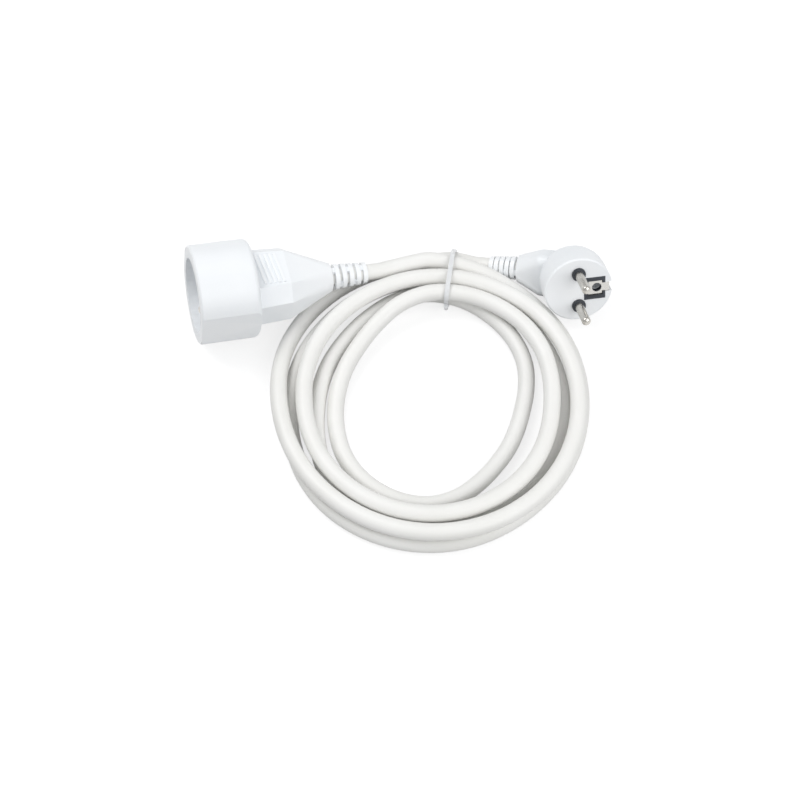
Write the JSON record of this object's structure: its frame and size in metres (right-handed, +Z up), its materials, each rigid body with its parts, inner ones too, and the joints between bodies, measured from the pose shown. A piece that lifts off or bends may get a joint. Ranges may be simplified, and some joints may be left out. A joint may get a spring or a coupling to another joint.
{
  "type": "extension cord",
  "caption": "White extension cord in a loose tied coil, with an earthed socket connector at one end and an angled earthed plug at the other.",
  "frame": {"origin": "on the floor, under the middle of the socket connector's bounding box", "axes": "+X along the connector from its mouth to its cord end, +Z up; the connector's cord end is tipped 8.5 degrees down"},
  "size_m": [0.2238, 0.1913, 0.0566],
  "materials": {
    "white_shell": "satin moulded PVC",
    "cord_sheath": "satin PVC sheath",
    "dark_carrier": "fine texture",
    "tie": "translucent plastic",
    "nickel": "nickel plated",
    "brass": "plain",
    "core_brown": "plain",
    "core_blue": "plain",
    "core_green": "plain"
  },
  "bodies": {
    "cord_set": {"socket_body": "white_shell", "socket_relief": "white_shell", "face_plate": "white_shell", "shutter_spring": "nickel", "contact_carrier": "white_shell", "contact_sleeve_live": "brass", "contact_sleeve_neutral": "brass", "earth_pin": "nickel", "socket_crimps": "brass", "socket_core_brown": "core_brown", "socket_core_blue": "core_blue", "socket_core_earth": "core_green", "socket_sheath_end": "cord_sheath", "socket_tail": "cord_sheath", "coil": "cord_sheath", "plug_tail": "cord_sheath", "tie_strap": "tie", "tie_head": "tie", "plug_body": "white_shell", "plug_relief": "white_shell", "pin_carrier": "dark_carrier", "plug_pin_live": "nickel", "plug_pin_neutral": "nickel", "earth_contact": "nickel", "plug_crimps": "brass", "plug_core_brown": "core_brown", "plug_core_blue": "core_blue", "plug_core_earth": "core_green", "plug_sheath_end": "cord_sheath"},
    "shutter": {"shutter": "white_shell"}
  },
  "joints": [
    {"name": "shutter_slide", "type": "slide", "parent": "cord_set", "child": "shutter", "axis": [0, 1, 0], "range_m": [0, 0.0062], "stiffness_N_per_m": 150, "springref_m": -0.002, "deforming": ["shutter_spring"]}
  ]
}
